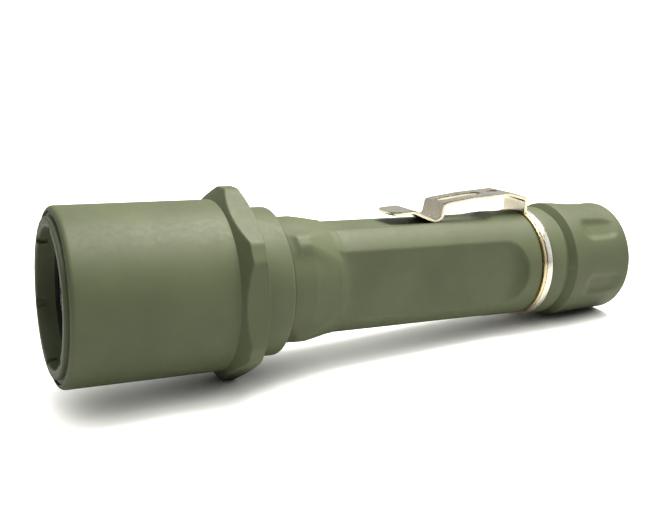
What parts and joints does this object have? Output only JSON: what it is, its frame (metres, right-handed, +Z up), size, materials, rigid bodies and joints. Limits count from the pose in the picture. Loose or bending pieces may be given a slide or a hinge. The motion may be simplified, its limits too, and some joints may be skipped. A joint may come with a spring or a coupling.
{
  "type": "tactical flashlight",
  "caption": "Hand-held lithium-cell flashlight with a wide round head, hexagonal anti-roll collar, moulded body with flats, sprung pocket clip and push-button tail cap.",
  "frame": {"origin": "on the light's axis, in the plane of the head shell's front edge; the retaining ring stands 0.85 mm proud of it", "axes": "+X from the front edge to the tail, so the beam leaves along -X; +Z up through the pocket clip; +Y completes a right-handed frame"},
  "size_m": [0.1452, 0.04, 0.0436],
  "materials": {
    "shell_polymer": "satin moulded polymer, grey-green",
    "ring_polymer": "satin moulded polymer, grey-green",
    "window_glass": "clear polished",
    "seal_rubber": "matte black rubber",
    "reflector_metal": "bright vapour-coated",
    "lamp_glass": "clear",
    "filament_metal": "grey tungsten wire",
    "holder_metal": "machined",
    "spring_metal": "bright drawn wire",
    "liner_metal": "bare drawn tube",
    "cell_wrap": "plain dark shrink wrap",
    "clip_metal": "nickel-plated spring steel, warm tone",
    "insert_metal": "polished bare metal",
    "switch_plastic": "black moulded polymer",
    "boot_rubber": "soft matte rubber",
    "contact_metal": "stamped sheet"
  },
  "bodies": {
    "body": {"body_tube": "shell_polymer", "body_liner": "liner_metal", "head_o_ring": "seal_rubber", "tail_o_ring": "seal_rubber", "cell_front": "cell_wrap", "cell_rear": "cell_wrap", "clip_ring": "clip_metal"},
    "lamp": {"reflector": "reflector_metal", "bulb_glass": "lamp_glass", "filament": "filament_metal", "lamp_holder": "holder_metal", "lamp_outer_spring": "spring_metal", "lamp_centre_spring": "spring_metal"},
    "head": {"bezel_shell": "shell_polymer", "retaining_ring": "ring_polymer", "lens_gasket": "seal_rubber", "lens": "window_glass"},
    "clip": {"clip_arm": "clip_metal"},
    "switch": {"cell_spring": "spring_metal"},
    "tailcap": {"tailcap_shell": "shell_polymer", "thread_insert": "insert_metal", "housing_ring": "contact_metal", "switch_housing": "switch_plastic", "boot": "boot_rubber"},
    "button": {"plunger": "switch_plastic", "contact_plate": "contact_metal"}
  },
  "joints": [
    {"name": "lamp_advance", "type": "slide", "parent": "body", "child": "lamp", "axis": [-1, 0, 0], "range_m": [0, 0.0069]},
    {"name": "head_turn", "type": "hinge", "parent": "lamp", "child": "head", "pos_m": [0.02, 0, 0], "axis": [-1, 0, 0], "range_deg": [0, 1620]},
    {"name": "tail_advance", "type": "slide", "parent": "body", "child": "switch", "axis": [1, 0, 0], "range_m": [0, 0.0062]},
    {"name": "tail_turn", "type": "hinge", "parent": "switch", "child": "tailcap", "pos_m": [0.13, 0, 0], "axis": [1, 0, 0], "range_deg": [0, 1440]},
    {"name": "button_press", "type": "slide", "parent": "tailcap", "child": "button", "axis": [-1, 0, 0], "range_m": [0, 0.0022], "stiffness_N_per_m": 1500, "springref_m": -0.002, "deforming": ["boot", "cell_spring"]},
    {"name": "clip_flex", "type": "hinge", "parent": "body", "child": "clip", "pos_m": [0.11668, 0, 0.01455], "axis": [0, 1, 0], "range_deg": [0, 7], "stiffness_Nm_per_rad": 1.5}
  ],
  "couplings": [
    {"joint": "lamp_advance", "follows": "head_turn", "m_per_rad": 0.00023873},
    {"joint": "tail_advance", "follows": "tail_turn", "m_per_rad": 0.00023873}
  ]
}
